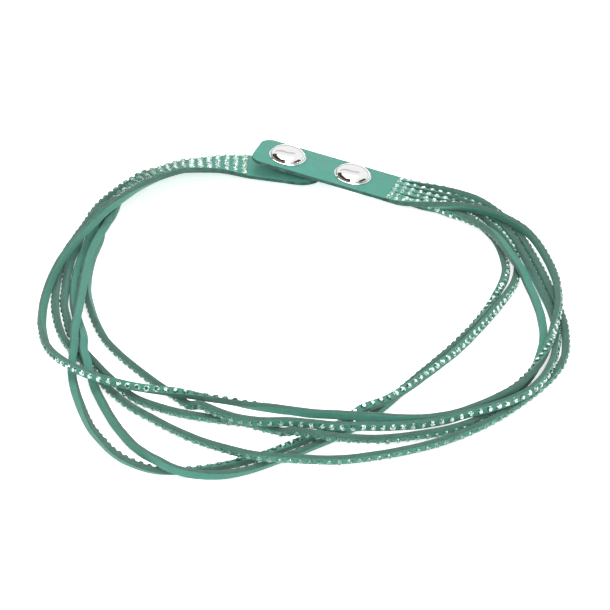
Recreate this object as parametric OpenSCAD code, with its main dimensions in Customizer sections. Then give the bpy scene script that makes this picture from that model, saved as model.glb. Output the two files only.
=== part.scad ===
// Wrap bracelet of one slit leather strip: two end tabs, six strands with a row of
// crystals each, and three snap fittings. It lies closed on a flat surface, Z up.

/* [Leather] */
// Width of the whole strip and of both tabs
tab_w = 10.5; // [8:0.1:14]
// Thickness of the leather
leather_t = 1.2; // [1:0.05:2]
// Distance between two neighbouring slits
strand_pitch = 1.75; // [1.4:0.05:2.5]
// Width of one strand
strand_w = 1.5; // [1.2:0.05:2.2]
// Thickness of one strand
strand_t = 1.1; // [1:0.05:1.6]
// Space left between touching pieces
gap = 0.1; // [0.05:0.01:0.3]

/* [Tabs] */
// From the end of the over tab to its first snap
over_end = 7.2; // [5:0.1:12]
// From the first snap to the strands on the over tab
over_run = 24.6; // [18:0.1:40]
// Corner radius at the end of the over tab
over_corner = 2.6; // [0.5:0.1:5]
// Downhill slope of the over tab, in degrees
over_slope = 8.4; // [0:0.1:12]
// From the stud to the rounded end of the under tab
under_end = 8; // [5:0.1:12]
// From the stud to the strands on the under tab
under_run = 9.2; // [6:0.1:20]
// Slant of the line where the strands leave the under tab, in degrees
under_slant = 16; // [0:1:25]
// Corner radius at the end of the under tab
under_corner = 4.4; // [0.5:0.1:5]
// Lean of the under tab, its inner edge raised, in degrees
under_tilt = 4; // [0:0.5:15]

/* [Snaps] */
// Distance between the two snap caps
snap_spacing = 15.2; // [10:0.1:30]
// Diameter of a snap cap
cap_d = 8.3; // [6:0.1:15]
// Height of a snap cap
cap_h = 1.6; // [0.6:0.05:3]
// Diameter of the post through the leather
post_d = 2.4; // [1.5:0.1:4]
// Outer diameter of the socket
socket_d = 6.2; // [5:0.1:12]
// Bore of the socket
socket_bore = 4.4; // [3:0.1:6]
// Height of the socket
socket_h = 1; // [0.3:0.05:2]
// Diameter of the stud's ball
ball_d = 3; // [2:0.1:5]
// Height of the stud above the under tab
stud_h = 1.7; // [0.6:0.05:3]
// Diameter of the rivet back under the under tab
back_d = 5.6; // [4:0.1:10]

/* [Crystals] */
// Width of a row of crystals
stone_w = 1.1; // [0.8:0.05:2]
// Height of a row of crystals above the leather
stone_h = 0.4; // [0.2:0.05:1]
// Where a row of crystals starts and ends on its strand, as shares of the strand
stone_span = [0.002, 0.998]; // [0:0.002:1]

/* [Hidden] */

leather_col = [0.31, 0.62, 0.53];
strand_col = [0.28, 0.50, 0.44];
metal_col = [0.82, 0.82, 0.83];
stone_col = [0.80, 0.92, 0.88];

rings = 80;
shift = [0.4, 1.7, 0];

// The two tabs: place of the snap, heading and height of the leather's underside there
over_at = [-4, 56.7, 3.9];
over_heading = -18.25;
under_at = [-4, 56.8, 0.6];
under_heading = -16;

// Columns: x, y, z of the strip's centre line, heading, lean of the inner edge
band = [
    [-13, 59.35, 1.2, 180, 4],
    [-17.75, 59.75, 1.5, 180, 10],
    [-22.25, 58.5, 1.9, 191, 14.5],
    [-26.5, 57, 2.2, 204, 18],
    [-30.5, 54.25, 2.6, 219, 22],
];

// Columns: x, y, z of a strand's centre line, roll of its stone face
// Roll 0 faces up, 90 out of the loop, 180 down, 270 into the loop
route_1 = [
    [-36.25, 55, 1, 35], [-41, 48.25, 1, 45], [-45, 40.25, 1.1, 62], [-47, 33.25, 1, 78],
    [-49, 26.75, 1, 92], [-50.75, 20.5, 1, 100], [-51.75, 13, 1, 104], [-52, 5.5, 1, 108],
    [-51.75, -2, 1, 108], [-50.75, -9, 1, 108], [-49, -16, 1, 109], [-46, -22.5, 1, 112],
    [-42.5, -29, 1, 117], [-39, -35.5, 1.1, 120], [-35, -41.5, 1.1, 120], [-30.5, -46.25, 1.1, 120],
    [-25.5, -51, 1.1, 118], [-20.5, -55.5, 1.4, 115], [-16.5, -59.25, 2.3, 112], [-12.5, -62.5, 3.1, 108],
    [-8.25, -64.25, 3.3, 106], [-3.75, -64.5, 3.1, 105], [1, -63.25, 2, 106], [6, -62, 1.1, 108],
    [12, -60.75, 1, 108], [18.5, -58.75, 1, 106], [25.5, -55.75, 1, 106], [32.5, -51, 1, 106],
    [38, -46, 1, 107], [42.75, -40.5, 1, 108], [47, -34.5, 0.9, 103], [50.25, -29, 0.9, 103],
    [52.5, -22.5, 0.95, 104], [53.25, -15, 0.95, 103], [53, -7, 1, 99], [51.75, 1.5, 1, 96],
    [50, 11, 1, 91], [47.5, 22.25, 1, 85], [45, 31.25, 1.1, 81], [41.5, 38.25, 1.1, 78],
    [37.75, 43.75, 1.05, 76], [33.75, 46.75, 1, 70], [29.5, 49, 1, 55], [25.25, 50.75, 0.95, 30],
];
route_2 = [
    [-36, 52.5, 1.8, 38], [-39.75, 45.75, 1.8, 48], [-42.5, 40.5, 1.1, 70], [-43.5, 34, 0.9, 95],
    [-43.75, 26.5, 1, 110], [-45, 19, 1.05, 117], [-45.5, 12, 1.1, 120], [-45.5, 5, 1.1, 121],
    [-44.5, -2, 1.1, 121], [-42.75, -9.5, 1.1, 120], [-40.5, -16.25, 1.1, 119], [-37.5, -22, 1.1, 118],
    [-34.25, -27, 1.1, 117], [-30.75, -32, 1.1, 116], [-27, -36.75, 1.1, 114], [-23.75, -41.25, 1.4, 112],
    [-22.5, -42.75, 1.7, 111], [-20.75, -44.5, 2.9, 110], [-19, -46.25, 3.25, 109], [-16.25, -48.5, 3.3, 105],
    [-12.25, -51, 3.5, 100], [-7.75, -52.5, 3.9, 94], [-3, -52.75, 4.1, 90], [2, -53, 3.7, 88],
    [7, -53, 3.2, 87], [12, -52.5, 2.9, 86], [17, -51.5, 2.3, 84], [22, -50.25, 1.9, 82],
    [27, -48.75, 1.9, 80], [32, -47.25, 2.6, 80], [37, -45.25, 2.9, 80], [41.25, -42.25, 2.8, 80],
    [45, -38.5, 2.7, 80], [47.75, -33.5, 2.6, 82], [49.75, -27.5, 2.5, 86], [50.75, -21, 1.8, 90],
    [51.5, -13, 1.05, 92], [50.75, -3, 1, 94], [48.5, 8.5, 1, 95], [46.25, 20, 1, 92],
    [44, 28.5, 1, 86], [41.25, 35, 1.05, 76], [38, 40.25, 1, 60], [33.75, 43.75, 1, 42],
    [29.5, 46.5, 1, 26], [25.25, 48.75, 0.9, 14],
];
route_3 = [
    [-35.5, 50.25, 2.6, 41], [-39.5, 43.25, 2.6, 55], [-41, 38, 1.9, 95], [-42, 33, 2.3, 130],
    [-43, 27.5, 3.05, 145], [-44.5, 21, 3.2, 150], [-45.5, 14, 3.3, 152], [-46, 7, 3.3, 152],
    [-46.25, 0.5, 3.4, 152], [-46.5, -6, 3.6, 150], [-46.75, -12, 3.9, 150], [-47, -17, 3.8, 152],
    [-46.75, -22, 3.1, 160], [-47, -26, 2.2, 175], [-46.75, -31, 1.4, 197], [-45.75, -37, 1.25, 220],
    [-44.25, -43, 1.1, 240], [-42.5, -49, 1, 260], [-40, -54.5, 1, 275], [-37.25, -59.25, 1, 288],
    [-34, -62.75, 1, 300], [-30, -65.25, 1, 312], [-25.75, -66, 0.9, 326], [-21.75, -65.5, 0.85, 338],
    [-17.5, -64.25, 0.8, 348], [-13, -62.5, 0.75, 355], [-8.5, -60, 0.75, 360], [-4, -57, 0.75, 364],
    [1, -53.25, 0.8, 368], [6, -49.5, 1, 372], [8.5, -47.75, 1.55, 375], [11, -46, 2.8, 378],
    [15.75, -42.75, 2.8, 385], [20, -38.25, 2.8, 391], [25, -31.25, 2.6, 397], [30.25, -23.5, 2.4, 403],
    [34.75, -15, 2.2, 410], [38.25, -7.5, 1.9, 418], [41.25, -0.25, 1.5, 426], [43.5, 6.25, 1, 432],
    [44.75, 12.5, 1, 432], [44.5, 19, 1.1, 427], [42.75, 26, 1.2, 417], [40.25, 32.5, 1, 406],
    [37.25, 38, 1, 392], [33.5, 41.5, 1, 381], [29.5, 44.25, 0.95, 373], [25.25, 46.5, 0.9, 367],
];
route_4 = [
    [-35.25, 48, 3.5, 44], [-39, 41, 3.75, 58], [-41.25, 37, 3.75, 78], [-44, 33, 3.3, 115],
    [-45.25, 29, 2.25, 135], [-46.25, 24, 1.6, 150], [-47.25, 18.5, 1.4, 156], [-48, 12, 1.3, 158],
    [-48.25, 5.5, 1.3, 158], [-48, -0.5, 1.35, 157], [-47.25, -6.5, 1.4, 156], [-46, -12.5, 1.8, 156],
    [-45, -19, 3.2, 162], [-44.75, -24, 3.2, 172], [-43.75, -28.25, 3, 187], [-43, -31.5, 2.4, 202],
    [-42, -35.5, 1.4, 219], [-40.25, -41, 1.2, 233], [-37.75, -48, 1.1, 243], [-34.5, -55, 1.1, 251],
    [-31.5, -60.5, 1.8, 256], [-28.5, -65.25, 3, 260], [-25.75, -68, 3.1, 263], [-22.75, -69.25, 2.8, 268],
    [-19.5, -68.75, 2, 276], [-16, -67.5, 1.2, 287], [-12, -66, 1, 297], [-8, -63.75, 1, 302],
    [-4, -61, 1, 303], [1, -57.25, 1, 300], [6.25, -53, 0.95, 293], [11.25, -47.75, 0.9, 284],
    [16, -41.25, 0.85, 278], [20, -34.75, 0.9, 276], [25.25, -26.75, 1, 280], [30.5, -18.5, 1, 290],
    [35, -10, 1, 318], [38.25, -2.5, 1, 348], [40.5, 4.5, 1, 385], [42.25, 11.25, 1, 412],
    [42, 18, 1, 420], [41, 24.5, 0.95, 412], [38.75, 30.5, 0.95, 401], [35.75, 36, 1, 390],
    [31.75, 40.25, 0.95, 378], [27.25, 43.25, 0.9, 370],
];
route_5 = [
    [-35, 45.75, 4.4, 47], [-39, 38, 5, 66], [-41.5, 35, 5.25, 84], [-44.25, 31.75, 5, 98],
    [-47, 27.5, 3.5, 108], [-48.25, 23, 1.95, 114], [-49.5, 17.5, 1.15, 118], [-50, 11, 1.1, 120],
    [-50, 5, 1.1, 118], [-50, -1, 1.05, 114], [-49, -7, 1.05, 111], [-48, -13, 1, 110],
    [-45.75, -18.5, 1, 111], [-43, -24, 1.05, 113], [-40, -29.5, 1.05, 115], [-37, -34.5, 1.1, 116],
    [-33.75, -39, 1.1, 116], [-29.75, -42, 1.1, 116], [-25, -44.5, 1.1, 116], [-20, -46.25, 1.1, 116],
    [-15.5, -47.25, 1.1, 116], [-11.25, -48.75, 1.3, 117], [-7.75, -51, 1.6, 118], [-4.25, -53.5, 2.2, 119],
    [-2.25, -54.75, 3.25, 120], [0.25, -55.75, 3.5, 120], [3.25, -56.25, 3.3, 120], [7.25, -56.5, 2.8, 121],
    [11.75, -55.5, 1.9, 122], [16.5, -54.25, 1.2, 120], [21.5, -53, 1.1, 114], [26.5, -51.5, 1, 106],
    [31, -49.25, 0.95, 104], [35.5, -45.75, 1, 112], [39.75, -40.75, 1.2, 130], [43.25, -35, 1.25, 148],
    [46, -28.75, 1.25, 162], [47.75, -22.25, 1.2, 172], [48.75, -15.5, 1.2, 178], [48.75, -8, 1.2, 180],
    [48, -1, 1.3, 181], [46.75, 4.75, 1.9, 183], [45.5, 9.25, 3, 186], [44, 13.75, 3.2, 190],
    [42.25, 19.25, 3.3, 197], [40.5, 25, 2.95, 207], [37.5, 30.5, 2.4, 222], [34.25, 35, 1.6, 245],
    [31.5, 37.75, 1.1, 272], [28.5, 40, 1, 305], [24.75, 42, 0.9, 340],
];
route_6 = [
    [-34.75, 43, 5.5, 50], [-39.25, 34.75, 6.5, 84], [-42, 30.25, 6.5, 97], [-44.5, 26.5, 5.7, 105],
    [-47.25, 21, 5.2, 112], [-50, 14.5, 4.8, 116], [-52, 8.75, 4, 119], [-53.25, 4, 2.9, 124],
    [-54, -0.5, 1.9, 133], [-54.25, -5.5, 1.4, 138], [-54, -11, 1.35, 132], [-53, -17, 1.6, 115],
    [-51.5, -22.75, 2.5, 102], [-49.25, -28.25, 3.7, 90], [-46.25, -32.5, 4.3, 80], [-43, -35.25, 4.3, 75],
    [-39.25, -37.25, 4.1, 70], [-35, -38.25, 3.6, 63], [-30.75, -39.5, 3.5, 52], [-26.75, -40.5, 3.6, 33],
    [-22.75, -41.75, 3.6, 6], [-18.75, -42, 2.8, -20], [-14.75, -41.5, 1.7, -33], [-11, -42.25, 1.4, -52],
    [-7, -43.5, 1.6, -78], [-3, -45.5, 2.2, -90], [1, -47.5, 2.8, -93], [5, -48.75, 3.3, -95],
    [9, -49.5, 3.5, -95], [13.75, -49.5, 3.2, -95], [18.75, -48.75, 2.3, -95], [23.75, -48, 1.9, -93],
    [28.75, -46.75, 1.9, -90], [33.5, -44.75, 2.4, -90], [38, -42, 2.9, -88], [42, -38, 3, -80],
    [45.25, -32.75, 3, -50], [47.75, -26.5, 3, -10], [49.75, -20, 3.1, 35], [51.25, -12.5, 3.2, 65],
    [52.25, -5.5, 3.1, 80], [52.5, 1.5, 2.7, 88], [52.25, 8.25, 2.3, 92], [51.25, 15, 2.1, 92],
    [49.75, 21, 2.3, 90], [47.5, 26.25, 2.8, 86], [44.5, 30.25, 3.1, 82], [41.25, 33.5, 3.1, 78],
    [37.5, 35.75, 3.15, 74], [33.5, 37.25, 3.1, 64], [29, 38.25, 2.9, 40], [24.75, 39.5, 2.5, 15],
    [21.25, 42.5, 1.1, 5],
];
routes = [route_1, route_2, route_3, route_4, route_5, route_6];

function unit(v) = v / norm(v);

// Place of strand k across the strip, counted inwards from the centre line
function across(k) = (k - 3.5) * strand_pitch;

// Strand k on a row of the band table
function on_band(r, k) =
    [r[0] - sin(r[3]) * cos(r[4]) * across(k), r[1] + cos(r[3]) * cos(r[4]) * across(k),
     r[2] + sin(r[4]) * across(k), r[4]];

// The end of strand k just beyond the over tab, with the last roll of its route
function on_over(k, roll) =
    let(far = over_run + 3 * gap, mid = leather_t / 2,
        run = far * cos(over_slope) + mid * sin(over_slope))
    [over_at[0] + cos(over_heading) * run + sin(over_heading) * across(k),
     over_at[1] + sin(over_heading) * run - cos(over_heading) * across(k),
     over_at[2] - far * sin(over_slope) + mid * cos(over_slope), roll];

// The whole way of strand k, from the under tab round to the over tab
function whole_way(k) =
    let(r = routes[k - 1], end_roll = 360 * round(r[len(r) - 1][3] / 360))
    concat([for (b = band) on_band(b, k)], r, [on_over(k, end_roll)]);

// Smooth curve through the rows of a route, at t from 0 to len - 1
function spline(p, t) =
    let(n = len(p), i = min(floor(t), n - 2), u = t - i,
        a = i > 0 ? p[i - 1] : 2 * p[0] - p[1], b = p[i], c = p[i + 1],
        d = i + 2 < n ? p[i + 2] : 2 * p[n - 1] - p[n - 2])
    0.5 * (2 * b + (c - a) * u + (2 * a - 5 * b + 4 * c - d) * u * u
           + (3 * b - a - 3 * c + d) * u * u * u);

function xyz(q) = [q[0], q[1], q[2]];

// One ring of a ribbon: its four corners, w wide, from face height h0 to h1
function ring(p, t, w, h0, h1) =
    let(n = len(p) - 1, q = spline(p, t), e = 0.05,
        along = unit(xyz(spline(p, min(t + e, n))) - xyz(spline(p, max(t - e, 0)))),
        out = unit([along[1], -along[0], 0]), up = cross(out, along),
        face = up * cos(q[3]) + out * sin(q[3]), side = cross(along, face))
    [for (s = [[-1, h0], [1, h0], [1, h1], [-1, h1]])
        xyz(q) + side * s[0] * w / 2 + face * s[1]];

// A ribbon through rings that share a count of corners, closed at both ends
module ribbon(sections) {
    n = len(sections);
    m = len(sections[0]);
    polyhedron(
        points = [for (s = sections) each s],
        faces = concat(
            [[for (j = [0:m - 1]) j]],
            [for (i = [0:n - 2], j = [0:m - 1])
                let(a = i * m + j, b = i * m + (j + 1) % m, half = [[a, a + m, b + m], [a, b + m, b]])
                each half],
            [[for (j = [m - 1:-1:0]) (n - 1) * m + j]]));
}

module strand(k) {
    p = whole_way(k);
    last = len(p) - 1;
    color(strand_col)
        ribbon([for (i = [0:rings - 1])
            ring(p, last * i / (rings - 1), strand_w, -strand_t / 2, strand_t / 2)]);
}

module stone_row(k) {
    p = whole_way(k);
    last = len(p) - 1;
    foot = strand_t / 2 + gap;
    color(stone_col)
        ribbon([for (i = [0:rings - 1])
            let(t = last * min(max(i / (rings - 1), stone_span[0]), stone_span[1]))
            ring(p, t, stone_w, foot, foot + stone_h)]);
}

// Frames of the two tabs: X points to the strands on the over tab, to the end on the under tab
module over_frame() {
    translate(over_at) rotate([0, 0, over_heading]) rotate([0, over_slope, 0]) children();
}

module under_frame() {
    translate(under_at) rotate([0, 0, under_heading]) rotate([-under_tilt, 0, 0]) children();
}

// Outline of a tab from x0 to x1 with its corners rounded at one end
module tab_outline(x0, x1, r, round_left) {
    xr = round_left ? x0 + r : x1 - r;
    union() {
        for (s = [-1, 1]) translate([xr, s * (tab_w / 2 - r)]) circle(r = r, $fn = 48);
        translate([xr, -tab_w / 2]) square([round_left ? x1 - xr : 0.001, tab_w]);
        translate([round_left ? x0 : x0, -tab_w / 2 + (round_left ? r : 0)])
            square([round_left ? x1 - x0 : xr - x0, tab_w - (round_left ? 2 * r : 0)]);
        if (!round_left) translate([xr, -tab_w / 2 + r]) square([r, tab_w - 2 * r]);
    }
}

module over_tab() {
    color(leather_col) over_frame() difference() {
        linear_extrude(leather_t) tab_outline(-over_end, over_run, over_corner, true);
        for (x = [0, snap_spacing]) translate([x, 0, -1])
            cylinder(d = post_d + 2 * gap, h = leather_t + 2, $fn = 48);
    }
}

module under_tab() {
    s = tan(under_slant);
    color(leather_col) under_frame() difference() {
        linear_extrude(leather_t) intersection() {
            tab_outline(-under_run - s * tab_w, under_end, under_corner, false);
            polygon([[-under_run + s * tab_w, -tab_w], [under_end + 1, -tab_w],
                     [under_end + 1, tab_w], [-under_run - s * tab_w, tab_w]]);
        }
        translate([0, 0, -1]) cylinder(d = post_d + 2 * gap, h = leather_t + 2, $fn = 48);
    }
}

// Domed cap with a rolled rim, post and socket, turned about its axis, leather at 0 to leather_t
module snap() {
    r = cap_d / 2;
    top = leather_t + gap;
    color(metal_col) rotate_extrude($fn = 72) polygon([
        [0, -gap], [socket_bore / 2, -gap], [socket_bore / 2, -gap - socket_h],
        [socket_d / 2 - 0.1, -gap - socket_h], [socket_d / 2, -gap - socket_h + 0.15],
        [socket_d / 2, -0.05], [post_d / 2, -0.05], [post_d / 2, top],
        [r - 0.3, top], [r, top + 0.2], [r, top + 0.5], [r - 0.25, top + 0.72],
        [r - 0.6, top + 0.62], [r - 0.85, top + 0.6],
        for (a = [20:10:90]) [(r - 0.95) * cos(a), top + 0.45 + (cap_h - 0.45) * sin(a)]]);
}

module snap_1() {
    over_frame() snap();
}

module snap_2() {
    over_frame() translate([snap_spacing, 0, 0]) snap();
}

module snap_stud() {
    top = leather_t + 0.05;
    color(metal_col) under_frame() rotate_extrude($fn = 48) polygon([
        [0, -0.35], [back_d / 2 - 0.1, -0.35], [back_d / 2, -0.25], [back_d / 2, -0.05],
        [post_d / 2, -0.05], [post_d / 2, top], [ball_d / 2 + 0.4, top],
        [ball_d / 2 + 0.4, top + 0.15], [ball_d / 2 - 0.25, top + 0.2],
        [ball_d / 2 - 0.25, top + stud_h - 0.65], [ball_d / 2, top + stud_h - 0.35],
        [ball_d / 2 - 0.2, top + stud_h - 0.1], [0, top + stud_h]]);
}

module strand_1() { strand(1); }
module strand_2() { strand(2); }
module strand_3() { strand(3); }
module strand_4() { strand(4); }
module strand_5() { strand(5); }
module strand_6() { strand(6); }
module stone_row_1() { stone_row(1); }
module stone_row_2() { stone_row(2); }
module stone_row_3() { stone_row(3); }
module stone_row_4() { stone_row(4); }
module stone_row_5() { stone_row(5); }
module stone_row_6() { stone_row(6); }

translate(shift) {
    under_tab();
    over_tab();
    snap_1();
    snap_2();
    snap_stud();
    strand_1();
    strand_2();
    strand_3();
    strand_4();
    strand_5();
    strand_6();
    stone_row_1();
    stone_row_2();
    stone_row_3();
    stone_row_4();
    stone_row_5();
    stone_row_6();
}
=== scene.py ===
# %% [markdown]
# A wrap bracelet is one strip of soft leather. Slits turn the middle of the strip into six
# strands, each strand carries a row of small crystals, and the two uncut ends are tabs with
# snap fittings. Here the measured solids come in first, as a frame that is never moved, and
# every finished piece of this lesson takes the place of one of them.

import math
import bpy
import bmesh
import numpy as np
from mathutils import Matrix, Vector


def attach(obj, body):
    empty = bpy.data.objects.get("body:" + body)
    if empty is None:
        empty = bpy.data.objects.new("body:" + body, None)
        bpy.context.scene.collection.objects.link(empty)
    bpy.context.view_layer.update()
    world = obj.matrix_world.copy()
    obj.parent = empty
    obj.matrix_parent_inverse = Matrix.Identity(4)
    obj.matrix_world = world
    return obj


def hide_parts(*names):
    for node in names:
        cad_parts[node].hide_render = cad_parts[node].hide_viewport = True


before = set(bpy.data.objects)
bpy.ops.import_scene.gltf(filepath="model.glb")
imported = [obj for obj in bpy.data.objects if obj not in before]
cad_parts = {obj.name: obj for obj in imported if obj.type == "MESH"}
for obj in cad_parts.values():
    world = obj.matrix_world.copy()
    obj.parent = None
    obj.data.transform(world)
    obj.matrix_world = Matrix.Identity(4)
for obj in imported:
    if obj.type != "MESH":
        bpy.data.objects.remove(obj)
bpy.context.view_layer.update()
MM = 0.001
print("solids:", len(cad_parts), "nodes")

# %% [markdown]
# The sizes of the real bracelet come first, in millimetres. The part's source holds the
# same numbers, so the leather here lies exactly where the solids lie.

# %% Sizes of the strip, the tabs and the snaps
TAB_WIDTH, LEATHER, PITCH = 10.5, 1.2, 1.75
OVER_END, OVER_RUN, OVER_CORNER, OVER_SLOPE = 7.2, 24.6, 2.6, 8.4
UNDER_END, UNDER_RUN, UNDER_CORNER, UNDER_TILT, UNDER_SLANT = 8.0, 9.2, 4.4, 4.0, 16
SNAP_SPACING, CAP_RADIUS, CAP_HEIGHT, SOCKET, STUD_TOP = 15.2, 4.15, 1.6, 1.0, 2.95
GAP = 0.1
shift = [0.4, 1.7, 0]
over_at, over_heading = [-4, 56.7, 3.9], -18.25
under_at, under_heading = [-4, 56.8, 0.6], -16
print("strip", TAB_WIDTH, "mm wide in six strands of", PITCH, "mm")

# %% [markdown]
# A camera far away with a long lens sees the loop almost without perspective, as a product
# photo does. It looks down at 30 degrees, from the side of the front strands.

# %% Camera
VIEW_DISTANCE, VIEW_HEIGHT_DEG, MM_PER_PIXEL, PIXELS = 0.8, 30.0, 0.208, 610
aim = Vector((shift[0], shift[1], 0)) * MM
height = math.radians(VIEW_HEIGHT_DEG)
eye = aim + Vector((0, -math.cos(height), math.sin(height))) * VIEW_DISTANCE
bpy.ops.object.camera_add(location=eye)
camera = bpy.context.object
camera.rotation_euler = (aim - eye).to_track_quat("-Z", "Y").to_euler()
camera.data.lens = camera.data.sensor_width * VIEW_DISTANCE / (MM_PER_PIXEL * MM * PIXELS)
camera.data.clip_start, camera.data.clip_end = 0.01, 10
bpy.context.scene.camera = camera
print("lens", round(camera.data.lens), "mm")

# %% [markdown]
# The routes are short listed tables. The band table gives the strip's centre line
# while the strands still lie side by side: x, y, z, heading and the lean of the inner edge.
# Each route table gives a free strand: x, y, z and the roll of its crystal face, where 0
# looks up, 90 out of the loop, 180 down and 270 into the loop.

# %% Route tables
band = [
    [-13, 59.35, 1.2, 180, 4],
    [-17.75, 59.75, 1.5, 180, 10],
    [-22.25, 58.5, 1.9, 191, 14.5],
    [-26.5, 57, 2.2, 204, 18],
    [-30.5, 54.25, 2.6, 219, 22],
]
route_1 = [
    [-36.25, 55, 1, 35], [-41, 48.25, 1, 45], [-45, 40.25, 1.1, 62], [-47, 33.25, 1, 78],
    [-49, 26.75, 1, 92], [-50.75, 20.5, 1, 100], [-51.75, 13, 1, 104], [-52, 5.5, 1, 108],
    [-51.75, -2, 1, 108], [-50.75, -9, 1, 108], [-49, -16, 1, 109], [-46, -22.5, 1, 112],
    [-42.5, -29, 1, 117], [-39, -35.5, 1.1, 120], [-35, -41.5, 1.1, 120], [-30.5, -46.25, 1.1, 120],
    [-25.5, -51, 1.1, 118], [-20.5, -55.5, 1.4, 115], [-16.5, -59.25, 2.3, 112], [-12.5, -62.5, 3.1, 108],
    [-8.25, -64.25, 3.3, 106], [-3.75, -64.5, 3.1, 105], [1, -63.25, 2, 106], [6, -62, 1.1, 108],
    [12, -60.75, 1, 108], [18.5, -58.75, 1, 106], [25.5, -55.75, 1, 106], [32.5, -51, 1, 106],
    [38, -46, 1, 107], [42.75, -40.5, 1, 108], [47, -34.5, 0.9, 103], [50.25, -29, 0.9, 103],
    [52.5, -22.5, 0.95, 104], [53.25, -15, 0.95, 103], [53, -7, 1, 99], [51.75, 1.5, 1, 96],
    [50, 11, 1, 91], [47.5, 22.25, 1, 85], [45, 31.25, 1.1, 81], [41.5, 38.25, 1.1, 78],
    [37.75, 43.75, 1.05, 76], [33.75, 46.75, 1, 70], [29.5, 49, 1, 55], [25.25, 50.75, 0.95, 30],
]
route_2 = [
    [-36, 52.5, 1.8, 38], [-39.75, 45.75, 1.8, 48], [-42.5, 40.5, 1.1, 70], [-43.5, 34, 0.9, 95],
    [-43.75, 26.5, 1, 110], [-45, 19, 1.05, 117], [-45.5, 12, 1.1, 120], [-45.5, 5, 1.1, 121],
    [-44.5, -2, 1.1, 121], [-42.75, -9.5, 1.1, 120], [-40.5, -16.25, 1.1, 119], [-37.5, -22, 1.1, 118],
    [-34.25, -27, 1.1, 117], [-30.75, -32, 1.1, 116], [-27, -36.75, 1.1, 114], [-23.75, -41.25, 1.4, 112],
    [-22.5, -42.75, 1.7, 111], [-20.75, -44.5, 2.9, 110], [-19, -46.25, 3.25, 109], [-16.25, -48.5, 3.3, 105],
    [-12.25, -51, 3.5, 100], [-7.75, -52.5, 3.9, 94], [-3, -52.75, 4.1, 90], [2, -53, 3.7, 88],
    [7, -53, 3.2, 87], [12, -52.5, 2.9, 86], [17, -51.5, 2.3, 84], [22, -50.25, 1.9, 82],
    [27, -48.75, 1.9, 80], [32, -47.25, 2.6, 80], [37, -45.25, 2.9, 80], [41.25, -42.25, 2.8, 80],
    [45, -38.5, 2.7, 80], [47.75, -33.5, 2.6, 82], [49.75, -27.5, 2.5, 86], [50.75, -21, 1.8, 90],
    [51.5, -13, 1.05, 92], [50.75, -3, 1, 94], [48.5, 8.5, 1, 95], [46.25, 20, 1, 92],
    [44, 28.5, 1, 86], [41.25, 35, 1.05, 76], [38, 40.25, 1, 60], [33.75, 43.75, 1, 42],
    [29.5, 46.5, 1, 26], [25.25, 48.75, 0.9, 14],
]
route_3 = [
    [-35.5, 50.25, 2.6, 41], [-39.5, 43.25, 2.6, 55], [-41, 38, 1.9, 95], [-42, 33, 2.3, 130],
    [-43, 27.5, 3.05, 145], [-44.5, 21, 3.2, 150], [-45.5, 14, 3.3, 152], [-46, 7, 3.3, 152],
    [-46.25, 0.5, 3.4, 152], [-46.5, -6, 3.6, 150], [-46.75, -12, 3.9, 150], [-47, -17, 3.8, 152],
    [-46.75, -22, 3.1, 160], [-47, -26, 2.2, 175], [-46.75, -31, 1.4, 197], [-45.75, -37, 1.25, 220],
    [-44.25, -43, 1.1, 240], [-42.5, -49, 1, 260], [-40, -54.5, 1, 275], [-37.25, -59.25, 1, 288],
    [-34, -62.75, 1, 300], [-30, -65.25, 1, 312], [-25.75, -66, 0.9, 326], [-21.75, -65.5, 0.85, 338],
    [-17.5, -64.25, 0.8, 348], [-13, -62.5, 0.75, 355], [-8.5, -60, 0.75, 360], [-4, -57, 0.75, 364],
    [1, -53.25, 0.8, 368], [6, -49.5, 1, 372], [8.5, -47.75, 1.55, 375], [11, -46, 2.8, 378],
    [15.75, -42.75, 2.8, 385], [20, -38.25, 2.8, 391], [25, -31.25, 2.6, 397], [30.25, -23.5, 2.4, 403],
    [34.75, -15, 2.2, 410], [38.25, -7.5, 1.9, 418], [41.25, -0.25, 1.5, 426], [43.5, 6.25, 1, 432],
    [44.75, 12.5, 1, 432], [44.5, 19, 1.1, 427], [42.75, 26, 1.2, 417], [40.25, 32.5, 1, 406],
    [37.25, 38, 1, 392], [33.5, 41.5, 1, 381], [29.5, 44.25, 0.95, 373], [25.25, 46.5, 0.9, 367],
]
route_4 = [
    [-35.25, 48, 3.5, 44], [-39, 41, 3.75, 58], [-41.25, 37, 3.75, 78], [-44, 33, 3.3, 115],
    [-45.25, 29, 2.25, 135], [-46.25, 24, 1.6, 150], [-47.25, 18.5, 1.4, 156], [-48, 12, 1.3, 158],
    [-48.25, 5.5, 1.3, 158], [-48, -0.5, 1.35, 157], [-47.25, -6.5, 1.4, 156], [-46, -12.5, 1.8, 156],
    [-45, -19, 3.2, 162], [-44.75, -24, 3.2, 172], [-43.75, -28.25, 3, 187], [-43, -31.5, 2.4, 202],
    [-42, -35.5, 1.4, 219], [-40.25, -41, 1.2, 233], [-37.75, -48, 1.1, 243], [-34.5, -55, 1.1, 251],
    [-31.5, -60.5, 1.8, 256], [-28.5, -65.25, 3, 260], [-25.75, -68, 3.1, 263], [-22.75, -69.25, 2.8, 268],
    [-19.5, -68.75, 2, 276], [-16, -67.5, 1.2, 287], [-12, -66, 1, 297], [-8, -63.75, 1, 302],
    [-4, -61, 1, 303], [1, -57.25, 1, 300], [6.25, -53, 0.95, 293], [11.25, -47.75, 0.9, 284],
    [16, -41.25, 0.85, 278], [20, -34.75, 0.9, 276], [25.25, -26.75, 1, 280], [30.5, -18.5, 1, 290],
    [35, -10, 1, 318], [38.25, -2.5, 1, 348], [40.5, 4.5, 1, 385], [42.25, 11.25, 1, 412],
    [42, 18, 1, 420], [41, 24.5, 0.95, 412], [38.75, 30.5, 0.95, 401], [35.75, 36, 1, 390],
    [31.75, 40.25, 0.95, 378], [27.25, 43.25, 0.9, 370],
]
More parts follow.
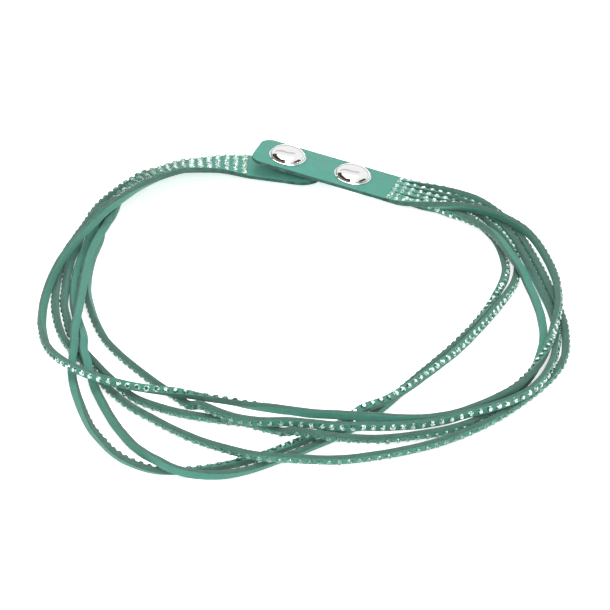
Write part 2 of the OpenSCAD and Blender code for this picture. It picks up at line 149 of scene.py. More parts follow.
route_5 = [
    [-35, 45.75, 4.4, 47], [-39, 38, 5, 66], [-41.5, 35, 5.25, 84], [-44.25, 31.75, 5, 98],
    [-47, 27.5, 3.5, 108], [-48.25, 23, 1.95, 114], [-49.5, 17.5, 1.15, 118], [-50, 11, 1.1, 120],
    [-50, 5, 1.1, 118], [-50, -1, 1.05, 114], [-49, -7, 1.05, 111], [-48, -13, 1, 110],
    [-45.75, -18.5, 1, 111], [-43, -24, 1.05, 113], [-40, -29.5, 1.05, 115], [-37, -34.5, 1.1, 116],
    [-33.75, -39, 1.1, 116], [-29.75, -42, 1.1, 116], [-25, -44.5, 1.1, 116], [-20, -46.25, 1.1, 116],
    [-15.5, -47.25, 1.1, 116], [-11.25, -48.75, 1.3, 117], [-7.75, -51, 1.6, 118], [-4.25, -53.5, 2.2, 119],
    [-2.25, -54.75, 3.25, 120], [0.25, -55.75, 3.5, 120], [3.25, -56.25, 3.3, 120], [7.25, -56.5, 2.8, 121],
    [11.75, -55.5, 1.9, 122], [16.5, -54.25, 1.2, 120], [21.5, -53, 1.1, 114], [26.5, -51.5, 1, 106],
    [31, -49.25, 0.95, 104], [35.5, -45.75, 1, 112], [39.75, -40.75, 1.2, 130], [43.25, -35, 1.25, 148],
    [46, -28.75, 1.25, 162], [47.75, -22.25, 1.2, 172], [48.75, -15.5, 1.2, 178], [48.75, -8, 1.2, 180],
    [48, -1, 1.3, 181], [46.75, 4.75, 1.9, 183], [45.5, 9.25, 3, 186], [44, 13.75, 3.2, 190],
    [42.25, 19.25, 3.3, 197], [40.5, 25, 2.95, 207], [37.5, 30.5, 2.4, 222], [34.25, 35, 1.6, 245],
    [31.5, 37.75, 1.1, 272], [28.5, 40, 1, 305], [24.75, 42, 0.9, 340],
]
route_6 = [
    [-34.75, 43, 5.5, 50], [-39.25, 34.75, 6.5, 84], [-42, 30.25, 6.5, 97], [-44.5, 26.5, 5.7, 105],
    [-47.25, 21, 5.2, 112], [-50, 14.5, 4.8, 116], [-52, 8.75, 4, 119], [-53.25, 4, 2.9, 124],
    [-54, -0.5, 1.9, 133], [-54.25, -5.5, 1.4, 138], [-54, -11, 1.35, 132], [-53, -17, 1.6, 115],
    [-51.5, -22.75, 2.5, 102], [-49.25, -28.25, 3.7, 90], [-46.25, -32.5, 4.3, 80], [-43, -35.25, 4.3, 75],
    [-39.25, -37.25, 4.1, 70], [-35, -38.25, 3.6, 63], [-30.75, -39.5, 3.5, 52], [-26.75, -40.5, 3.6, 33],
    [-22.75, -41.75, 3.6, 6], [-18.75, -42, 2.8, -20], [-14.75, -41.5, 1.7, -33], [-11, -42.25, 1.4, -52],
    [-7, -43.5, 1.6, -78], [-3, -45.5, 2.2, -90], [1, -47.5, 2.8, -93], [5, -48.75, 3.3, -95],
    [9, -49.5, 3.5, -95], [13.75, -49.5, 3.2, -95], [18.75, -48.75, 2.3, -95], [23.75, -48, 1.9, -93],
    [28.75, -46.75, 1.9, -90], [33.5, -44.75, 2.4, -90], [38, -42, 2.9, -88], [42, -38, 3, -80],
    [45.25, -32.75, 3, -50], [47.75, -26.5, 3, -10], [49.75, -20, 3.1, 35], [51.25, -12.5, 3.2, 65],
    [52.25, -5.5, 3.1, 80], [52.5, 1.5, 2.7, 88], [52.25, 8.25, 2.3, 92], [51.25, 15, 2.1, 92],
    [49.75, 21, 2.3, 90], [47.5, 26.25, 2.8, 86], [44.5, 30.25, 3.1, 82], [41.25, 33.5, 3.1, 78],
    [37.5, 35.75, 3.15, 74], [33.5, 37.25, 3.1, 64], [29, 38.25, 2.9, 40], [24.75, 39.5, 2.5, 15],
    [21.25, 42.5, 1.1, 5],
]
routes = [route_1, route_2, route_3, route_4, route_5, route_6]
print("route rows:", [len(route) for route in routes])

# %% [markdown]
# A strand's whole way starts on the under tab, follows the band where all six strands lie
# side by side, then its own route round the loop, and ends on the over tab. A smooth curve
# runs through the rows, with 10 points between two rows.

# %% The whole way of each strand
def across(k):
    return (k - 3.5) * PITCH


def on_band(row, k):
    x, y, z, heading, lean = row
    h, t = math.radians(heading), math.radians(lean)
    return [x - math.sin(h) * math.cos(t) * across(k), y + math.cos(h) * math.cos(t) * across(k),
            z + math.sin(t) * across(k), lean]


def on_over(k, roll):
    h, slope = math.radians(over_heading), math.radians(OVER_SLOPE)
    far, mid = OVER_RUN + 3 * GAP, LEATHER / 2
    run = far * math.cos(slope) + mid * math.sin(slope)
    return [over_at[0] + math.cos(h) * run + math.sin(h) * across(k),
            over_at[1] + math.sin(h) * run - math.cos(h) * across(k),
            over_at[2] - far * math.sin(slope) + mid * math.cos(slope), roll]


def smooth(rows, steps=10):
    p = np.array([2 * np.array(rows[0]) - rows[1], *rows, 2 * np.array(rows[-1]) - rows[-2]])
    points = []
    for a, b, c, d in zip(p, p[1:], p[2:], p[3:]):
        for u in np.arange(steps) / steps:
            points.append(0.5 * (2 * b + (c - a) * u + (2 * a - 5 * b + 4 * c - d) * u * u
                                 + (3 * b - a - 3 * c + d) * u ** 3))
    return np.array(points + [p[-2]])


def relaxed(points, passes=6):
    points = points.copy()
    for _ in range(passes):
        points[1:-1] = points[:-2] / 4 + points[1:-1] / 2 + points[2:] / 4
    return points


def whole_way(k):
    route = routes[k - 1]
    rows = [on_band(row, k) for row in band] + route
    rows.append(on_over(k, 360 * round(route[-1][3] / 360)))
    return relaxed(smooth([list(map(float, row)) for row in rows]))


ways = {k: whole_way(k) for k in range(1, 7)}
lengths = {k: float(np.linalg.norm(np.diff(way[:, :3], axis=0), axis=1).sum())
           for k, way in ways.items()}
print("strand lengths in mm:", {k: round(v, 1) for k, v in lengths.items()})

# %% [markdown]
# A strand is modelled straight and then bent along its way by a Curve modifier. The curve
# keeps Z upwards, and its tilt turns the strand about its own length, so that the crystal
# face can look up, outwards or down. A little more at each end reaches into the tabs.

# %% A bending curve for each strand
INTO_TAB = 1.2


def bending_curve(k):
    way = ways[k]
    first, last = way[0].copy(), way[-1].copy()
    first[:3] -= (way[1] - way[0])[:3] / np.linalg.norm((way[1] - way[0])[:3]) * INTO_TAB
    last[:3] += (way[-1] - way[-2])[:3] / np.linalg.norm((way[-1] - way[-2])[:3]) * INTO_TAB
    points = np.vstack([first, way, last])
    data = bpy.data.curves.new(f"way_{k}", "CURVE")
    data.dimensions, data.twist_mode = "3D", "Z_UP"
    spline = data.splines.new("POLY")
    spline.points.add(len(points) - 1)
    for point, (x, y, z, roll) in zip(spline.points, points):
        point.co = ((x + shift[0]) * MM, (y + shift[1]) * MM, z * MM, 1)
        point.tilt = math.radians(roll)
    curve = bpy.data.objects.new(f"way_{k}", data)
    bpy.context.collection.objects.link(curve)
    return curve


def bend_along(piece, curve):
    bend = piece.modifiers.new("bend", "CURVE")
    bend.object, bend.deform_axis = curve, "POS_X"
    bpy.context.view_layer.objects.active = piece
    bpy.ops.object.modifier_apply(modifier=bend.name)


curves = {k: bending_curve(k) for k in ways}
print("curves:", len(curves))

# %% [markdown]
# Colours and surfaces are worked out by small formulas. A class lets a material's maths be
# written as ordinary sums, and each sum becomes one Math node.

# %% Shader maths
def put(tree, item, slot):
    if isinstance(item, Value):
        tree.links.new(item.socket, slot)
    else:
        slot.default_value = (*item, 1.0) if isinstance(item, tuple) else item


class Value:
    def __init__(self, tree, socket):
        self.tree, self.socket = tree, socket

    def node(self, operation, *others):
        made = self.tree.nodes.new("ShaderNodeMath")
        made.operation = operation
        for slot, item in zip(made.inputs, (self, *others)):
            put(self.tree, item, slot)
        return Value(self.tree, made.outputs[0])

    def __add__(self, other): return self.node("ADD", other)
    def __radd__(self, other): return self.node("ADD", other)
    def __sub__(self, other): return self.node("SUBTRACT", other)
    def __rsub__(self, other): return self.node("MULTIPLY", -1.0).node("ADD", other)
    def __mul__(self, other): return self.node("MULTIPLY", other)
    def __rmul__(self, other): return self.node("MULTIPLY", other)
    def clamp(self): return self.node("MAXIMUM", 0.0).node("MINIMUM", 1.0)
    def above(self, edge, soft): return ((self - edge) * (1 / soft)).clamp()
    def within(self, low, high, soft): return self.above(low, soft) * (1 - self.above(high, soft))

    def between(self, low, high):
        mix = self.tree.nodes.new("ShaderNodeMix")
        mix.data_type = "RGBA"
        self.tree.links.new(self.socket, mix.inputs["Factor"])
        for slot, colour in ((mix.inputs["A"], low), (mix.inputs["B"], high)):
            put(self.tree, colour, slot)
        return Value(self.tree, mix.outputs["Result"])


class Finish:
    def __init__(self, name):
        self.material = bpy.data.materials.new(name)
        self.material.use_nodes = True
        self.tree = self.material.node_tree
        self.shader = self.tree.nodes["Principled BSDF"]

    def noise(self, size_mm, detail, roughness=0.5):
        coords = self.tree.nodes.new("ShaderNodeTexCoord")
        texture = self.tree.nodes.new("ShaderNodeTexNoise")
        texture.inputs["Scale"].default_value = 1 / (size_mm * MM)
        texture.inputs["Detail"].default_value = detail
        texture.inputs["Roughness"].default_value = roughness
        self.tree.links.new(coords.outputs["Object"], texture.inputs["Vector"])
        return Value(self.tree, texture.outputs["Fac"])

    def attribute(self, name):
        made = self.tree.nodes.new("ShaderNodeAttribute")
        made.attribute_name = name
        return Value(self.tree, made.outputs["Fac"])

    def set(self, **values):
        for name, item in values.items():
            put(self.tree, item, self.shader.inputs[name.replace("_", " ")])

    def bump(self, height, depth_mm):
        made = self.tree.nodes.new("ShaderNodeBump")
        made.inputs["Distance"].default_value = depth_mm * MM
        self.tree.links.new(height.socket, made.inputs["Height"])
        self.tree.links.new(made.outputs["Normal"], self.shader.inputs["Normal"])


print("shader helpers ready")

# %% [markdown]
# The leather is a brushed suede. Its face is an even teal with a short nap that catches the
# light, slightly mottled where the nap lies the other way. The cut edges show the raw fibre,
# darker and greyer than the face; on the tabs the edge colour is darkened much further with
# painted shade. The attribute named cut is 1 on the cut edges, and the one named tab is 1
# where a strand comes out of a tab and still has the tab's fresh face colour and the painted
# shade of its edges.

# %% Suede
# The tab edge colour is the raw cut edge darkened further with painted shade.
TAB_FACE, TAB_NAP, SHADED_TAB_EDGE = (0.080, 0.268, 0.217), (0.068, 0.240, 0.192), (0.018, 0.028, 0.021)
STRAND_FACE, STRAND_NAP = (0.062, 0.212, 0.163), (0.053, 0.181, 0.138)
STRAND_EDGE = (0.052, 0.094, 0.074)


def suede(name, with_strands):
    finish = Finish(name)
    fibre = finish.noise(0.16, 4.0, roughness=0.65)
    mottle, broad = finish.noise(1.6, 2.0), finish.noise(9.0, 2.0)
    brushed = ((mottle - 0.5) * 1.1 + (broad - 0.5) * 1.2 + (fibre - 0.5) * 0.8 + 0.5).clamp()
    face, edge = brushed.between(TAB_NAP, TAB_FACE), SHADED_TAB_EDGE
    if with_strands:
        near = finish.attribute("tab")
        face = near.between(brushed.between(STRAND_NAP, STRAND_FACE), face)
        # Near a tab the strand's edges fade to the tab edge's colour with its painted shade.
        edge = near.between(STRAND_EDGE, SHADED_TAB_EDGE)
    cut = finish.attribute("cut")
    raw = (cut * (0.78 + 0.8 * (mottle - 0.5) + 0.9 * (fibre - 0.5))).clamp()
    finish.set(Base_Color=raw.between(face, edge), Roughness=(0.82 + 0.16 * fibre).clamp(),
               Specular_IOR_Level=0.25, Sheen_Weight=0.15, Sheen_Roughness=0.45,
               Sheen_Tint=(0.75, 1.0, 0.92))
    finish.bump(fibre + 0.5 * mottle, 0.09)
    return finish.material


tab_suede, strand_suede = suede("tab_suede", False), suede("strand_suede", True)
print("suede:", tab_suede.name, strand_suede.name)

# %% [markdown]
# The crystals are cut glass on a silver foil. Their facets carry painted highlights and
# painted shade: a facet is painted either bright, or dark with the leather's green in it,
# and a per-facet attribute says how bright it is painted. A second attribute picks out a
# few facets for a painted yellow or blue flash, as dispersion gives. The snaps are polished
# metal.

# %% Crystal and metal
def crystal():
    finish = Finish("foiled_crystal")
    painted_glint, painted_flash = finish.attribute("painted_glint"), finish.attribute("painted_flash")
    # These colours are painted reflections: dark green and teal for painted shade, near white for a painted
    # highlight, and yellow and blue for painted flashes of dispersion.
    colour = painted_glint.above(0.15, 0.35).between((0.030, 0.080, 0.062), (0.125, 0.330, 0.250))
    colour = painted_glint.above(0.55, 0.35).between(colour, (0.82, 0.95, 0.91))
    colour = painted_flash.above(0.975, 0.008).between(colour, (0.62, 0.47, 0.14))
    colour = painted_flash.above(0.988, 0.008).between(colour, (0.12, 0.30, 0.42))
    finish.set(Base_Color=colour, Metallic=0.15, Roughness=0.12, Coat_Weight=0.6,
               Coat_Roughness=0.03)
    return finish.material


def polished_metal():
    finish = Finish("polished_metal")
    wear = finish.noise(0.5, 4.0)
    finish.set(Base_Color=wear.between((0.84, 0.83, 0.82), (0.93, 0.93, 0.93)),
               Metallic=1.0, Roughness=(0.04 + 0.05 * wear).clamp())
    return finish.material


crystal_glass, silver = crystal(), polished_metal()
print("finishes:", crystal_glass.name, silver.name)

# %% [markdown]
# Small helpers for modelling by hand: start with nothing selected, pick faces or edges by
# a rule about their place, and hand a finished piece over to the frame.

# %% Modelling helpers
def edit(piece):
    if bpy.context.mode != "OBJECT":
        bpy.ops.object.mode_set(mode="OBJECT")
    bpy.ops.object.select_all(action="DESELECT")
    piece.select_set(True)
    bpy.context.view_layer.objects.active = piece
    bpy.ops.object.mode_set(mode="EDIT")


def pick(piece, kind, rule):
    bpy.ops.mesh.select_mode(type={"verts": "VERT", "edges": "EDGE", "faces": "FACE"}[kind])
    bpy.ops.mesh.select_all(action="DESELECT")
    mesh = bmesh.from_edit_mesh(piece.data)
    picked = [item for item in getattr(mesh, kind) if rule(item)]
    for item in picked:
        item.select = True
    mesh.select_flush_mode()
    bmesh.update_edit_mesh(piece.data)
    return len(picked)


def block(name, size, centre):
    bpy.ops.object.select_all(action="DESELECT")
    bpy.ops.mesh.primitive_cube_add(size=1)
    piece = bpy.context.object
    piece.name = piece.data.name = name
    edit(piece)
    bpy.ops.transform.resize(value=[s * MM for s in size])
    bpy.ops.transform.translate(value=[c * MM for c in centre])
    return piece


def mark(piece, name, values):
    made = piece.data.attributes.new(name, "FLOAT", "FACE" if len(values) == len(
        piece.data.polygons) else "POINT")
    made.data.foreach_set("value", np.asarray(values, float))


def finished(piece, material, slot, *nodes):
    piece.data.materials.clear()
    piece.data.materials.append(material)
    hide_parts(*nodes)
    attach(piece, "root")
    print(piece.name, len(piece.data.polygons), "faces")


print("helpers ready")

# %% [markdown]
# One strand: a short piece of strap with rounded edges, its open ends joined into a long
# strip by an Array modifier. Its width is nearly the full pitch at the tabs, where the slits
# have not begun, and a little less where the strand is free. The ends thin down to the tabs'
# thickness, and the sides waver a little, as if cut by hand. The cut sides are marked.

# %% Strands
ROOT_WIDTH, STRAND_WIDTH = 1.745, 1.68
STRAND_THICK, TAB_THICK, THINNING_RUN = 1.2, 1.0, 12
SEGMENT, ROUNDING = 0.8, 0.2
SLIT_FROM_UNDER, SLIT_FROM_OVER = (7, 14), (3, 7)
WAVER_ACROSS, WAVER_UP, WAVER_FROM = 0.02, 0.015, 20


def strap(k):
    count = round((lengths[k] + 2 * INTO_TAB) / SEGMENT)
    step = (lengths[k] + 2 * INTO_TAB) / count
    piece = block(f"leather_strand_{k}", (step, STRAND_WIDTH, STRAND_THICK), (step / 2, 0, 0))
    pick(piece, "edges", lambda e: abs(e.verts[0].co.x - e.verts[1].co.x) > step * MM / 2)
    bpy.ops.mesh.bevel(offset=ROUNDING * MM, segments=2, affect="EDGES")
    pick(piece, "faces", lambda f: abs(f.normal.x) > 0.9)
    bpy.ops.mesh.delete(type="ONLY_FACE")
    bpy.ops.object.mode_set(mode="OBJECT")
    row = piece.modifiers.new("row", "ARRAY")
    row.count, row.use_relative_offset, row.use_constant_offset = count, False, True
    row.constant_offset_displace = (step * MM, 0, 0)
    row.use_merge_vertices, row.merge_threshold = True, 0.02 * MM
    bpy.ops.object.modifier_apply(modifier=row.name)
    return piece


def close_ends(piece):
    edit(piece)
    bpy.ops.mesh.select_mode(type="EDGE")
    bpy.ops.mesh.select_all(action="DESELECT")
    bpy.ops.mesh.select_non_manifold(extend=False)
    bpy.ops.mesh.fill_holes(sides=0)
    bpy.ops.object.mode_set(mode="OBJECT")


def free_width(x, length):
    (under_start, under_run), (over_start, over_run) = SLIT_FROM_UNDER, SLIT_FROM_OVER
    from_under = np.clip((x - under_start) / under_run, 0, 1)
    from_over = np.clip((length - x - over_start) / over_run, 0, 1)
    slit = np.minimum(from_under, from_over) ** 0.6
    return ROOT_WIDTH * (1 - slit) + STRAND_WIDTH * slit


def thinning(x, length):
    lost = STRAND_THICK - TAB_THICK
    lowered, raised = (lost * np.clip(1 - (reach - 1) / THINNING_RUN, 0, 1)
                       for reach in (x, length - x))
    return lowered, raised


def hand_cut(piece, k):
    co = np.empty(len(piece.data.vertices) * 3)
    piece.data.vertices.foreach_get("co", co)
    co = co.reshape(-1, 3)
    x, length = co[:, 0] / MM, lengths[k] + 2 * INTO_TAB
    side = np.sign(co[:, 1])
    free = np.clip((x - WAVER_FROM) / WAVER_FROM, 0, 1)
    co[:, 1] *= free_width(x, length) / STRAND_WIDTH
    co[:, 1] += WAVER_ACROSS * MM * np.sin(x * 0.9 + side + k) * free
    co[:, 2] += WAVER_UP * MM * np.sin(x * 0.61 + 2 * k) * free
    lowered, raised = thinning(x, length)
    co[:, 2] += MM * np.where(co[:, 2] > 0, -lowered, raised)
    piece.data.vertices.foreach_set("co", co.ravel())
    piece.data.update()
    mark(piece, "cut", [abs(f.normal.y) > 0.8 or abs(f.normal.x) > 0.8
                        for f in piece.data.polygons])
    from_end = np.minimum(x, length - x)
    mark(piece, "tab", np.clip(1.15 - from_end / 12, 0, 1))


for k in range(1, 7):
    leather = strap(k)
    close_ends(leather)
    hand_cut(leather, k)
    bend_along(leather, curves[k])
    bpy.ops.object.shade_smooth_by_angle(angle=math.radians(50))
    finished(leather, strand_suede, "strand_leather", f"strand_{k}")

# %% [markdown]
# One crystal: a low eight-sided drum whose top is drawn up and in to a flat table, turned by
# half a facet so that triangles of light lie between table and girdle. The row is an Array
# of it. Each crystal is then turned, tipped and sized a little on its own, because they are
# set by hand. Each facet gets a painted brightness, painted highlight or painted shade by the
# way its row faces: bright tables in dim rings where a row looks up or into the loop, bright
# rings round dark tables where it leans half outwards, and painted shade, a dull green, where
# it looks down. Close to the tabs any facet may be painted bright, and on the next stretch of
# the band the tables are painted bright as dashes in darker rings. The editing steps don't
# always leave the facets in the same order, so each one's rank by its place gives it its
# chance number.

# %% Rows of crystals
STONE_RADIUS, STONE_GIRDLE, STONE_RISE, STONE_PITCH = 0.66, 0.14, 0.30, 2.0
FIRST_STONE, TABLE_SHARE, SEAT_HEIGHT = 0.35, 0.56, 0.05
# These roll limits choose where facets are painted shaded, or painted bright on tables or on rings.
SHADE_ROLL, SHADE_FADE, UP_ROLL, LEANING_ROLL, LEANING_SPAN = 94, 6, 28, 55, 10
SPARKLE_END, DASHES_END = 14, 45


def one_stone(name):
    bpy.ops.object.select_all(action="DESELECT")
    bpy.ops.mesh.primitive_cylinder_add(vertices=8, radius=STONE_RADIUS * MM,
                                        depth=STONE_GIRDLE * MM,
                                        location=(0, 0, 0))
    piece = bpy.context.object
    piece.name = piece.data.name = name
    edit(piece)
    pick(piece, "faces", lambda f: f.normal.z > 0.9)
    bpy.ops.mesh.extrude_region_move(
        TRANSFORM_OT_translate={"value": (0, 0, STONE_RISE * MM)})
    bpy.ops.transform.resize(value=(TABLE_SHARE, TABLE_SHARE, 1))
    bpy.ops.transform.rotate(value=math.radians(22.5), orient_axis="Z",
                             center_override=(0, 0, STONE_RISE * MM))
    bpy.ops.mesh.select_all(action="SELECT")
    bpy.ops.mesh.quads_convert_to_tris(quad_method="SHORTEST_DIAGONAL")
    bpy.ops.object.mode_set(mode="OBJECT")
    return piece


def facet_ranks(piece):
    places = np.round([f.center / MM for f in piece.data.polygons], 3)
    return np.argsort(np.lexsort(places.T))


def stone_row(k):
    piece = one_stone(f"crystal_row_{k}")
    per_stone, ranks = len(piece.data.vertices), facet_ranks(piece)
    tables = np.array([f.normal.z > 0.9 for f in piece.data.polygons])
    first, last = INTO_TAB + FIRST_STONE, lengths[k] + INTO_TAB - FIRST_STONE
    count = round((last - first) / STONE_PITCH) + 1
    pitch = (last - first) / (count - 1)
    row = piece.modifiers.new("row", "ARRAY")
    row.count, row.use_relative_offset, row.use_constant_offset = count, False, True
    row.constant_offset_displace = (pitch * MM, 0, 0)
    bpy.ops.object.modifier_apply(modifier=row.name)
    chance = np.random.default_rng(40 + k)
    set_by_hand(piece, chance, count, per_stone, first, pitch)
    mark_facets(piece, k, chance, tables, ranks, first + pitch * np.arange(count))
    return piece


def set_by_hand(piece, chance, count, per_stone, first, pitch):
    co = np.empty(len(piece.data.vertices) * 3)
    piece.data.vertices.foreach_get("co", co)
    co = co.reshape(count, per_stone, 3)
    for i in range(count):
        middle = np.array([i * pitch * MM, 0, 0])
        turn = (Matrix.Rotation(chance.uniform(0, math.tau), 3, "Z")
                @ Matrix.Rotation(math.radians(chance.normal(0, 5)), 3, "X")
                @ Matrix.Rotation(math.radians(chance.normal(0, 5)), 3, "Y"))
        size = chance.uniform(0.94, 1.03)
        lowered = thinning(first + i * pitch, 1e9)[0]
        top = STRAND_THICK / 2 + SEAT_HEIGHT - lowered
        seat = np.array([first, chance.normal(0, 0.03), top]) * MM
        co[i] = (co[i] - middle) @ np.array(turn).T * size + middle + seat
    piece.data.vertices.foreach_set("co", co.ravel())


def mark_facets(piece, k, chance, tables, ranks, stone_x):
    way = ways[k]
    steps = np.linalg.norm(np.diff(way[:, :3], axis=0), axis=1)
    along = np.concatenate([[0], np.cumsum(steps)]) + INTO_TAB
    roll = (np.interp(stone_x, along, way[:, 3]) + 180) % 360 - 180
    # lit is 1 where a stone faces up or out and keeps its painted highlights; it fades to painted shade, a
    # dull green, where the stone looks down.
    lit = np.clip((SHADE_ROLL - roll) / SHADE_FADE, 0, 1)[:, None]
    from_end = np.minimum(stone_x, lengths[k] + 2 * INTO_TAB - stone_x)[:, None]
    random = chance.uniform(0, 1, (len(stone_x), len(tables)))[:, ranks]
    # The values below are painted highlights on tables or rings, set by the way each row faces.
    painted_glint = np.where(tables, 0.5 + 0.7 * random, 0.95 * random ** 1.5)
    leaning = (np.abs(roll - LEANING_ROLL) < LEANING_SPAN)[:, None]
    painted_glint = np.where(leaning, np.where(tables, 0.3 * random, 0.25 + 0.75 * random), painted_glint)
    upward = (roll < UP_ROLL)[:, None]
    painted_glint = np.where(upward, np.where(tables, 0.55 + 0.5 * random, 0.35 * random), painted_glint)
    painted_glint = np.where(from_end < SPARKLE_END, 0.30 + 0.70 * random, painted_glint)
    dashes = ((stone_x > SPARKLE_END) & (stone_x < DASHES_END))[:, None]
    painted_glint = np.where(dashes, np.where(tables, 0.4 + 0.6 * random, 0.12 + 0.38 * random), painted_glint)
    painted_glint = lit * painted_glint + (1 - lit) * (0.10 + 0.45 * random)
    mark(piece, "painted_glint", painted_glint.ravel())
    mark(piece, "painted_flash", (chance.uniform(0, 1, painted_glint.shape)[:, ranks] * lit).ravel())


for k in range(1, 7):
    stones = stone_row(k)
    bend_along(stones, curves[k])
    finished(stones, crystal_glass, "crystal", f"stone_row_{k}")

# %% [markdown]
# A tab is a flat block. Where its strand line is slanted, that end is drawn out on one side
# and in on the other. The corners of the free end are rounded, then the faces are inset and
# the rim is drawn in to soften all edges, and the sides are marked as cut. The over tab keeps
# the solid's upper face and the under tab its lower one.

# %% Tabs
RIM, RIM_SHARE = 0.22, 0.72


def soften_end(piece, x_end, radius):
    pick(piece, "edges", lambda e: all(abs(v.co.x - x_end * MM) < 1e-6 for v in e.verts)
         and abs(e.verts[0].co.z - e.verts[1].co.z) > TAB_THICK * MM / 2)
    bpy.ops.mesh.bevel(offset=radius * MM, segments=14, affect="EDGES")


def tab(name, x0, x1, rounded_end, radius, middle, slant=0.0):
    piece = block(name, (x1 - x0, TAB_WIDTH, TAB_THICK), ((x0 + x1) / 2, 0, middle))
    if slant:
        for side in (-1, 1):
            pick(piece, "verts", lambda v: abs(v.co.x - x0 * MM) < 1e-6 and v.co.y * side > 0)
            bpy.ops.transform.translate(value=(-side * slant * TAB_WIDTH / 2 * MM, 0, 0))
    soften_end(piece, rounded_end, radius)
    pick(piece, "faces", lambda f: abs(f.normal.z) > 0.9)
    bpy.ops.mesh.inset(thickness=RIM * MM, depth=0)
    pick(piece, "verts", lambda v: any(abs(f.normal.z) < 0.5 for f in v.link_faces))
    bpy.ops.transform.resize(value=(1, 1, RIM_SHARE), center_override=(0, 0, middle * MM))
    bpy.ops.object.mode_set(mode="OBJECT")
    mark(piece, "cut", [abs(f.normal.z) < 0.4 for f in piece.data.polygons])
    return piece


def place(piece, at, heading, turn):
    piece.matrix_world = (Matrix.Translation(Vector([(a + s) * MM for a, s in zip(at, shift)]))
                          @ Matrix.Rotation(math.radians(heading), 4, "Z") @ turn)
    bpy.ops.object.select_all(action="DESELECT")
    piece.select_set(True)
    bpy.context.view_layer.objects.active = piece
    bpy.ops.object.transform_apply(location=True, rotation=True, scale=True)


OVER_TURN = Matrix.Rotation(math.radians(OVER_SLOPE), 4, "Y")
UNDER_TURN = Matrix.Rotation(math.radians(-UNDER_TILT), 4, "X")
over = tab("over_leather", -OVER_END, OVER_RUN, -OVER_END, OVER_CORNER, LEATHER - TAB_THICK / 2)
place(over, over_at, over_heading, OVER_TURN)
bpy.ops.object.shade_smooth_by_angle(angle=math.radians(40))
finished(over, tab_suede, "tab_leather", "over_tab")
under = tab("under_leather", -UNDER_RUN, UNDER_END, UNDER_END, UNDER_CORNER, TAB_THICK / 2,
            math.tan(math.radians(UNDER_SLANT)))
place(under, under_at, under_heading, UNDER_TURN)
bpy.ops.object.shade_smooth_by_angle(angle=math.radians(40))
finished(under, tab_suede, "tab_leather", "under_tab")

# %% [markdown]
# Caps, socket and stud are turned parts. A circle is drawn out ring by ring, each ring moved
# up and scaled to the next radius, and the last ring is closed. The profiles are pairs of
# radius and height above the leather's lower face.

# %% Snap fittings
def turned(name, profile, sides=64):
    bpy.ops.object.select_all(action="DESELECT")
    radius, height = profile[0]
    bpy.ops.mesh.primitive_circle_add(vertices=sides, radius=radius * MM,
                                      location=(0, 0, 0), fill_type="NGON")
    piece = bpy.context.object
    piece.name = piece.data.name = name
    edit(piece)
    bpy.ops.mesh.select_all(action="SELECT")
    bpy.ops.transform.translate(value=(0, 0, height * MM))
    bpy.ops.mesh.select_mode(type="FACE")
    for (r0, z0), (r1, z1) in zip(profile, profile[1:]):
        bpy.ops.mesh.extrude_region_move(
            TRANSFORM_OT_translate={"value": (0, 0, (z1 - z0) * MM)})
        bpy.ops.transform.resize(value=(r1 / r0, r1 / r0, 1), center_override=(0, 0, z1 * MM))
    bpy.ops.mesh.select_all(action="SELECT")
    bpy.ops.mesh.normals_make_consistent(inside=False)
    bpy.ops.object.mode_set(mode="OBJECT")
    bpy.ops.object.shade_smooth_by_angle(angle=math.radians(42))
    return piece


PLAY, RIM_TOP, SOCKET_EDGE = 0.03, 0.16, -0.1
TOP = LEATHER + PLAY
SHOULDER = CAP_RADIUS - 0.32
DOME = [(SHOULDER * math.cos(a) ** 0.75,
         TOP + RIM_TOP + (CAP_HEIGHT - RIM_TOP) * math.sin(a) ** 0.85)
        for a in np.radians(np.arange(4, 88, 6))]
CAP = [(2.2, SOCKET_EDGE), (2.2, SOCKET_EDGE - SOCKET), (3.0, SOCKET_EDGE - SOCKET),
       (3.1, 0.05 - SOCKET), (3.1, -PLAY), (1.2, -PLAY), (1.2, TOP),
       (CAP_RADIUS - 0.10, TOP), (CAP_RADIUS, TOP + 0.09), (CAP_RADIUS - 0.03, TOP + 0.20),
       (CAP_RADIUS - 0.14, TOP + 0.26), (CAP_RADIUS - 0.26, TOP + 0.22), *DOME]
STUD = [(2.6, -0.35), (2.8, -0.28), (2.8, -0.1), (2.7, -PLAY), (1.2, -PLAY), (1.2, 1.02),
        (1.9, 1.02), (1.9, 1.3), (1.3, 1.45), (1.25, STUD_TOP - 0.6), (1.45, STUD_TOP - 0.42),
        (1.5, STUD_TOP - 0.3), (1.4, STUD_TOP - 0.14), (1.1, STUD_TOP - 0.03), (0.5, STUD_TOP)]
for name, x, node in (("first_snap", 0, "snap_1"), ("second_snap", SNAP_SPACING, "snap_2")):
    snap = turned(name, CAP)
    place(snap, over_at, over_heading, OVER_TURN @ Matrix.Translation((x * MM, 0, 0)))
    finished(snap, silver, "snap_metal", node)
stud = turned("stud_fitting", STUD)
place(stud, under_at, under_heading, UNDER_TURN)
finished(stud, silver, "snap_metal", "snap_stud")

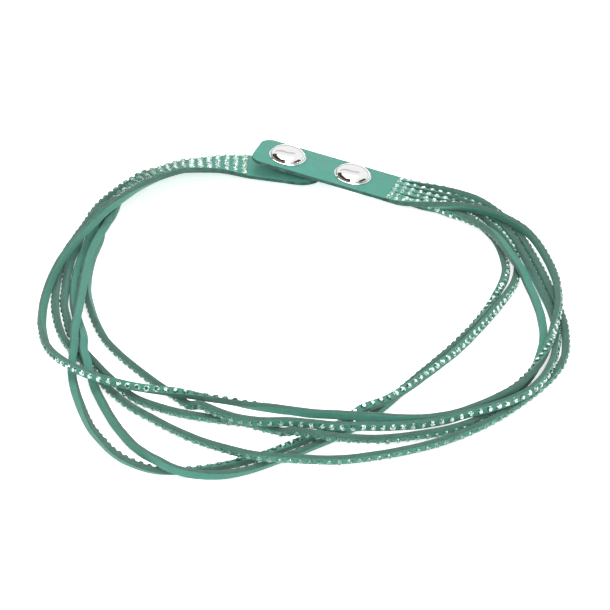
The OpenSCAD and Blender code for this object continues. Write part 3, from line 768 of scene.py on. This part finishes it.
# %% [markdown]
# The bracelet lies on a plain white table under large soft lights. The metal needs something
# darker to mirror as well, so the surroundings are white with a grey horizon, a grey streak
# high behind the loop, and two dark sectors on the viewer's side, left and right of a bright
# window. The bending curves have done their work and go first.

# %% Table and light
for curve in curves.values():
    bpy.data.objects.remove(curve)
bpy.ops.mesh.primitive_plane_add(size=4, location=(0, 0, -0.0002))
table = bpy.context.object
table.name = "table"
white = Finish("white_table")
white.set(Base_Color=(0.9, 0.9, 0.9), Roughness=0.7, Emission_Color=(1.0, 1.0, 1.0),
          Emission_Strength=0.6)
table.data.materials.append(white.material)


def soft_light(name, place_at, size, power):
    bpy.ops.object.light_add(type="AREA", location=place_at)
    lamp = bpy.context.object
    lamp.name, lamp.data.size, lamp.data.energy = name, size, power
    lamp.rotation_euler = (-Vector(place_at)).to_track_quat("-Z", "Y").to_euler()
    return lamp


soft_light("top_light", (0.0, 0.1, 0.9), 0.8, 6)
soft_light("front_light", (0.15, -1.0, 0.55), 0.6, 8)
soft_light("left_light", (-0.8, -0.3, 0.6), 0.5, 4).visible_glossy = False
world = bpy.data.worlds.new("studio")
bpy.context.scene.world = world
world.use_nodes = True
sky = world.node_tree
coords, split = sky.nodes.new("ShaderNodeTexCoord"), sky.nodes.new("ShaderNodeSeparateXYZ")
sky.links.new(coords.outputs["Generated"], split.inputs[0])
x, y, z = (Value(sky, split.outputs[axis]) for axis in "XYZ")
colour = z.above(0.10, 0.22).between((0.50, 0.48, 0.46), (1.0, 1.0, 1.0))
streak = z.within(0.56, 0.64, 0.04) * y.above(0.4, 0.1) * x.within(-0.32, 0.22, 0.08)
colour = (streak * 0.6).between(colour, (0.35, 0.34, 0.33))
slant = x + 0.30 - 0.60 * (0.0 - y).clamp()
left = (1 - slant.above(-0.03, 0.06)) * z.within(0.15, 0.955, 0.03) * (1 - y.above(0.50, 0.1))
right = x.above(0.62, 0.08) * z.within(0.02, 0.60, 0.06) * (1 - y.above(0.1, 0.1))
dark = (left + right).clamp()
colour = dark.between(colour, (0.07, 0.05, 0.04))
put(sky, colour, sky.nodes["Background"].inputs["Color"])
bpy.context.scene.view_settings.view_transform = "Standard"
print("lights ready")
